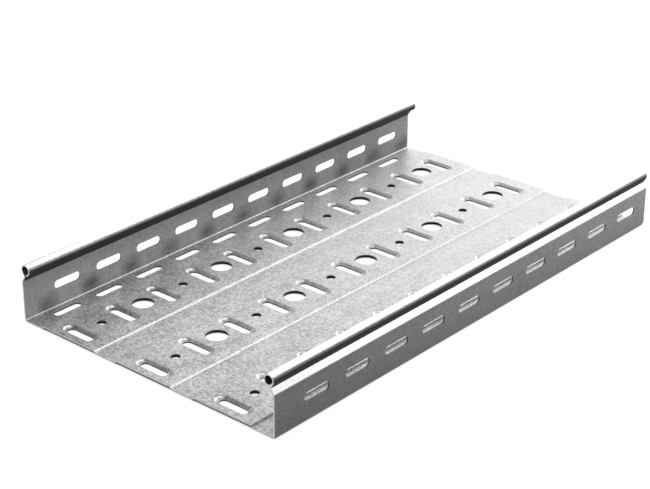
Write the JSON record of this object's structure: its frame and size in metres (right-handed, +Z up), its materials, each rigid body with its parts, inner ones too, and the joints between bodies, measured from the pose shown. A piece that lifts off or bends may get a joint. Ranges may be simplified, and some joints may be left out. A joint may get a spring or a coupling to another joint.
{
  "type": "perforated cable tray",
  "caption": "Straight length of perforated galvanised steel cable tray: folded floor with raised bands and pressed slots, slotted side walls and a curled bead along each top edge.",
  "frame": {"origin": "middle of the tray's underside, on the level of the floor's lowest faces", "axes": "+X across the tray towards the right wall, +Y along its length towards the far end, +Z up"},
  "size_m": [0.3, 0.535, 0.0564],
  "materials": {
    "galvanised_steel": "galvanised sheet, satin, with a fine spangle"
  },
  "bodies": {
    "root": {"perforated_tray": "galvanised_steel"}
  },
  "joints": []
}
